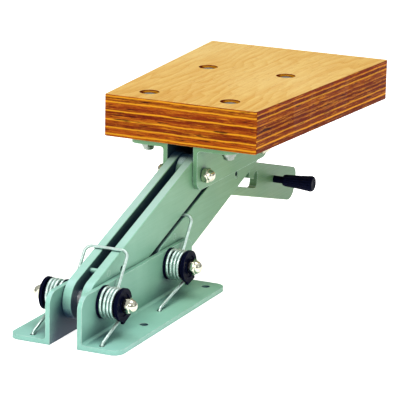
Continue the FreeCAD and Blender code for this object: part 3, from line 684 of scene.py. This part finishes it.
@dataclass
class LockNut:
    """The lock nut under each board bolt: a hexagon with a round collar."""

    flats: float = 0.0127
    hex_height: float = 0.0067
    collar: float = 0.01126
    height: float = 0.0095

    def stations(self) -> list[tuple[float, float]]:
        """Return the turned profile: chamfers, the collar and its rolled lip."""
        half, lip, top = self.flats / 2.0, self.collar / 2.0, self.height
        return [(0.0, half * 0.95), (0.0006, half * 1.05), (0.0012, half * 1.16),
                (self.hex_height - 0.0014, half * 1.16), (self.hex_height - 0.0006, half * 1.06),
                (self.hex_height, half * 0.96), (self.hex_height, lip),
                (top - 0.0011, lip), (top - 0.0006, lip * 0.975), (top - 0.0002, lip * 0.91), (top, lip * 0.82),
                (top - 0.0003, lip * 0.76), (top - 0.0003, lip * 0.1)]

    def seats(self, nodes: Sequence[str]) -> list[Seat]:
        """Return a seat for each plain nut, hanging from its washer."""
        seats = []
        for index, node in enumerate(nodes):
            low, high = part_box(node)
            middle = (low + high) / 2.0
            seats.append(Seat(Vector((middle.x, middle.y, high.z)),
                              (math.radians(11.0 + 31.0 * index), math.pi / 2.0, 0.0)))
        return seats


@dataclass
class RibbedGrip:
    """The flared grip on the latch bar, with its moulded ribs."""

    node: str = "latch_grip"
    ribs: int = 18
    rib_radius: float = 0.00062
    small: float = 0.0061
    large: float = 0.0086
    length: float = 0.036
    rings: int = 26

    def profile(self) -> list[tuple[float, float]]:
        """Return (x, radius) along the grip's core, from its small end to its crowned far end."""
        rows = [(0.0, self.small * 0.86), (0.0006, self.small)]
        for i in range(1, self.rings):
            along = i / self.rings
            flare = self.small + (self.large - self.small) * (0.25 * along + 0.75 * along ** 2.0)
            rows.append((0.0006 + along * (self.length - 0.0036), flare))
        top = self.length
        rows += [(top - 0.0026, self.large), (top - 0.0016, self.large * 0.985), (top - 0.0008, self.large * 0.94),
                 (top - 0.0003, self.large * 0.87), (top, self.large * 0.74), (top - 0.0003, self.large * 0.6)]
        return rows

    def rib_tree(self) -> bpy.types.NodeTree:
        """Return a geometry tree that sets round bars about the X axis."""
        tree = bpy.data.node_groups.new("grip_ribs", "GeometryNodeTree")
        face = tree.interface
        for label, kind in (("Count", "NodeSocketInt"), ("Rib radius", "NodeSocketFloat"),
                            ("Start", "NodeSocketVector"), ("Middle", "NodeSocketVector"),
                            ("End", "NodeSocketVector"), ("Finish", "NodeSocketMaterial")):
            face.new_socket(label, in_out="INPUT", socket_type=kind)
        face.new_socket("Geometry", in_out="OUTPUT", socket_type="NodeSocketGeometry")
        nodes, links = tree.nodes, tree.links
        given = nodes.new("NodeGroupInput").outputs
        line = nodes.new("GeometryNodeCurveQuadraticBezier")
        line.inputs["Resolution"].default_value = 12
        for label in ("Start", "Middle", "End"):
            links.new(given[label], line.inputs[label])
        section = nodes.new("GeometryNodeCurvePrimitiveCircle")
        section.inputs["Resolution"].default_value = 8
        links.new(given["Rib radius"], section.inputs["Radius"])
        bar = nodes.new("GeometryNodeCurveToMesh")
        bar.inputs["Fill Caps"].default_value = True
        links.new(line.outputs[0], bar.inputs["Curve"])
        links.new(section.outputs[0], bar.inputs["Profile Curve"])
        points = nodes.new("GeometryNodePoints")
        links.new(given["Count"], points.inputs["Count"])
        share = nodes.new("ShaderNodeMath")
        share.operation = "DIVIDE"
        links.new(nodes.new("GeometryNodeInputIndex").outputs[0], share.inputs[0])
        links.new(given["Count"], share.inputs[1])
        turn = nodes.new("ShaderNodeMath")
        turn.operation = "MULTIPLY"
        turn.inputs[1].default_value = 2.0 * math.pi
        links.new(share.outputs[0], turn.inputs[0])
        angles = nodes.new("ShaderNodeCombineXYZ")
        links.new(turn.outputs[0], angles.inputs["X"])
        as_turn = nodes.new("FunctionNodeEulerToRotation")
        links.new(angles.outputs[0], as_turn.inputs[0])
        spread = nodes.new("GeometryNodeInstanceOnPoints")
        links.new(points.outputs[0], spread.inputs["Points"])
        links.new(bar.outputs[0], spread.inputs["Instance"])
        links.new(as_turn.outputs[0], spread.inputs["Rotation"])
        real = nodes.new("GeometryNodeRealizeInstances")
        links.new(spread.outputs[0], real.inputs[0])
        finish = nodes.new("GeometryNodeSetMaterial")
        links.new(real.outputs[0], finish.inputs["Geometry"])
        links.new(given["Finish"], finish.inputs["Material"])
        links.new(finish.outputs[0], nodes.new("NodeGroupOutput").inputs[0])
        return tree

    def ribs_mesh(self, material: bpy.types.Material) -> bpy.types.Mesh:
        """Return the ribs as a plain mesh along +X."""
        host = bpy.data.objects.new("rib_host", bpy.data.meshes.new("rib_host"))
        bpy.context.scene.collection.objects.link(host)
        tree = self.rib_tree()
        layer = host.modifiers.new("ribs", "NODES")
        layer.node_group = tree
        middle_r = self.small + (self.large - self.small) * 0.22
        values = {"Count": self.ribs, "Rib radius": self.rib_radius,
                  "Start": (0.0022, 0.0, self.small - 0.0001),
                  "Middle": (self.length * 0.55, 0.0, middle_r),
                  "End": (self.length - 0.0022, 0.0, self.large - 0.0002), "Finish": material}
        for item in tree.interface.items_tree:
            if item.item_type == "SOCKET" and item.in_out == "INPUT":
                layer[item.identifier] = values[item.name]
        made = bpy.data.meshes.new_from_object(host.evaluated_get(bpy.context.evaluated_depsgraph_get()))
        bpy.data.objects.remove(host)
        return made

    def build(self, material: bpy.types.Material) -> bpy.types.Object:
        """Return the grip, which stands for its plain part."""
        low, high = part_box(self.node)
        self.length = high.x - low.x
        profile = self.profile()
        ribs = self.ribs_mesh(material)

        def fill(bm: bmesh.types.BMesh) -> None:
            """Add the turned core and its ribs, and move them to the plain part's place."""
            around, rings = 72, []
            for x, radius in profile:
                rings.append([bm.verts.new((x, radius * math.cos(2 * math.pi * i / around),
                                            radius * math.sin(2 * math.pi * i / around))) for i in range(around)])
            for first, second in zip(rings, rings[1:]):
                for i in range(around):
                    j = (i + 1) % around
                    bm.faces.new((first[i], first[j], second[j], second[i]))
            bm.faces.new(list(reversed(rings[0])))
            bm.faces.new(rings[-1])
            bm.from_mesh(ribs)
            centre = (low + high) / 2.0
            bmesh.ops.transform(bm, matrix=Matrix.Translation((low.x, centre.y, centre.z)), verts=bm.verts)

        piece = piece_from(fill, "ribbed_grip", material)
        bpy.data.meshes.remove(ribs)
        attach(piece, "latch")
        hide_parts(self.node)
        return piece


@dataclass
class Bracket:
    """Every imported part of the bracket, sorted by the finish it wears."""

    nodes: dict[str, bpy.types.Object]

    def named(self, *words: str) -> list[str]:
        """Return the parts whose names hold any of the words."""
        return sorted(name for name in self.nodes if any(word in name for word in words))

    def dress(self, shelf: FinishShelf) -> None:
        """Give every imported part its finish."""
        dress(self.named("angle_", "_bar", "latch_pin", "rivet"), self.nodes, shelf.coat)
        dress(["board"], self.nodes, shelf.ply)
        dress(self.named("_stud", "_nut_"), self.nodes, shelf.nut_steel)
        dress(self.named("board_"), self.nodes, shelf.bolt_steel)
        dress(self.named("_coil_", "_bail"), self.nodes, shelf.wire)
        dress(self.named("_spacer"), self.nodes, shelf.turned)
        dress(self.named("_spool_", "_cap_", "latch_grip"), self.nodes, shelf.nylon)

    def details(self, shelf: FinishShelf) -> None:
        """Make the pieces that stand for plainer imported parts."""
        set_out = SetOut()
        for name, kind, body, mark, steel in (
                ("lower_acorn_nuts", AcornNut(), "transom_mount", "_lower_nut_", shelf.nut_steel),
                ("upper_acorn_nuts", AcornNut(), "motor_mount", "_upper_nut_", shelf.nut_steel),
                ("board_lock_nuts", LockNut(), "motor_mount", "board_nut_", shelf.bolt_steel)):
            plain = self.named(mark)
            one = piece_from(lambda bm: turned_hexagon(bm, kind.flats, kind.stations()), name + "_one", steel)
            piece = set_out.piece(name, one, kind.seats(plain), steel)
            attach(piece, body)
            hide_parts(*plain)
            log.info("%s stands for %d nuts", piece.name, len(plain))
        grip = RibbedGrip().build(shelf.nylon)
        log.info("%s has %d faces", grip.name, len(grip.data.polygons))


@dataclass
class Studio:
    """White floor, soft lights and the camera."""

    eye: tuple[float, float, float] = (0.98420, -2.00415, 0.70590)
    yaw: float = 24.6
    pitch: float = -15.0
    roll: float = 1.2
    lens: float = 211.4
    sensor: float = 36.0
    clip: tuple[float, float] = (0.05, 100.0)
    floor_reach: float = 40.0
    floor_height: float = -0.0004
    sky_greys: tuple[tuple[float, float], ...] = ((0.0, 0.5), (0.48, 0.12), (0.6, 0.4), (1.0, 1.1))

    def floor(self, material: bpy.types.Material) -> None:
        """Lay a wide floor under the bracket."""
        def fill(bm: bmesh.types.BMesh) -> None:
            """Add one square face."""
            reach = self.floor_reach
            square = ((-reach, -reach), (reach, -reach), (reach, reach), (-reach, reach))
            bm.faces.new([bm.verts.new((x, y, self.floor_height)) for x, y in square])

        piece_from(fill, "studio_floor", material)

    def camera(self) -> None:
        """Place the camera."""
        data = bpy.data.cameras.new("camera")
        data.lens = self.lens
        data.sensor_width = self.sensor
        data.clip_start, data.clip_end = self.clip
        yaw, pitch, roll = (math.radians(a) for a in (self.yaw, self.pitch, self.roll))
        ahead = Vector((-math.sin(yaw) * math.cos(pitch), math.cos(yaw) * math.cos(pitch), math.sin(pitch)))
        right = Vector((math.cos(yaw), math.sin(yaw), 0.0))
        up = right.cross(ahead)
        right, up = (right * math.cos(roll) + up * math.sin(roll), up * math.cos(roll) - right * math.sin(roll))
        camera = bpy.data.objects.new("camera", data)
        camera.matrix_world = Matrix.Translation(self.eye) @ Matrix((right, up, -ahead)).transposed().to_4x4()
        bpy.context.scene.collection.objects.link(camera)
        bpy.context.scene.camera = camera

    def lamp(self, name: str, at: Sequence[float], aim: Sequence[float], size: float, power: float,
             colour: Colour = WHITE) -> None:
        """Add a square soft light.

        Args:
            name: the light's name.
            at: where it hangs, in metres.
            aim: the place it points at.
            size: its side, in metres.
            power: its strength, in watts.
            colour: its colour.
        """
        data = bpy.data.lights.new(name, "AREA")
        data.size, data.energy, data.color = size, power, colour
        lamp = bpy.data.objects.new(name, data)
        lamp.location = at
        lamp.rotation_euler = (Vector(aim) - Vector(at)).to_track_quat("-Z", "Y").to_euler()
        bpy.context.scene.collection.objects.link(lamp)

    def light(self) -> None:
        """Light the bracket softly from the front, from above and a little from the right, in a white surround."""
        world = bpy.data.worlds.new("surround")
        world.use_nodes = True
        nodes, links = world.node_tree.nodes, world.node_tree.links
        plain = nodes["Background"]
        plain.inputs[0].default_value = rgba(WHITE)
        split = nodes.new("ShaderNodeSeparateXYZ")
        links.new(nodes.new("ShaderNodeTexCoord").outputs["Generated"], split.inputs[0])
        sky = nodes.new("ShaderNodeValToRGB")
        for at, grey in self.sky_greys:
            stop = sky.color_ramp.elements.new(at)
            stop.color = (grey * 0.96, grey, grey * 1.02, 1.0)
        sky.color_ramp.elements.remove(sky.color_ramp.elements[0])
        sky.color_ramp.elements.remove(sky.color_ramp.elements[-1])
        lift = nodes.new("ShaderNodeMath")
        lift.operation = "MULTIPLY_ADD"
        lift.inputs[1].default_value, lift.inputs[2].default_value = 0.5, 0.5
        links.new(split.outputs["Z"], lift.inputs[0])
        links.new(lift.outputs[0], sky.inputs[0])
        tent = nodes.new("ShaderNodeBackground")
        links.new(sky.outputs[0], tent.inputs[0])
        mix = nodes.new("ShaderNodeMixShader")
        links.new(nodes.new("ShaderNodeLightPath").outputs["Is Camera Ray"], mix.inputs[0])
        links.new(tent.outputs[0], mix.inputs[1])
        links.new(plain.outputs[0], mix.inputs[2])
        links.new(mix.outputs[0], nodes["World Output"].inputs[0])
        bpy.context.scene.world = world
        self.lamp("key", (0.35, -2.1, 1.25), (0.0, 0.1, 0.1), 0.7, 32.0, (1.0, 0.98, 0.95))
        self.lamp("top", (0.1, 0.3, 2.0), (0.0, 0.2, 0.1), 1.2, 20.0)
        self.lamp("side", (2.0, -0.4, 0.8), (0.0, 0.1, 0.1), 0.8, 2.5, (0.95, 0.98, 1.0))

    def build(self, shelf: FinishShelf) -> None:
        """Set the whole studio."""
        self.floor(shelf.paper)
        self.light()
        self.camera()
        bpy.context.scene.view_settings.view_transform = "Standard"


def main() -> None:
    """Dress the bracket, add its details and set the studio."""
    logging.basicConfig(level=logging.INFO, format="%(message)s")
    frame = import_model()
    shelf = FinishShelf()
    bracket = Bracket(frame["nodes"])
    bracket.dress(shelf)
    bracket.details(shelf)
    Studio().build(shelf)
    bpy.context.view_layer.update()


if __name__ == "__main__":
    main()
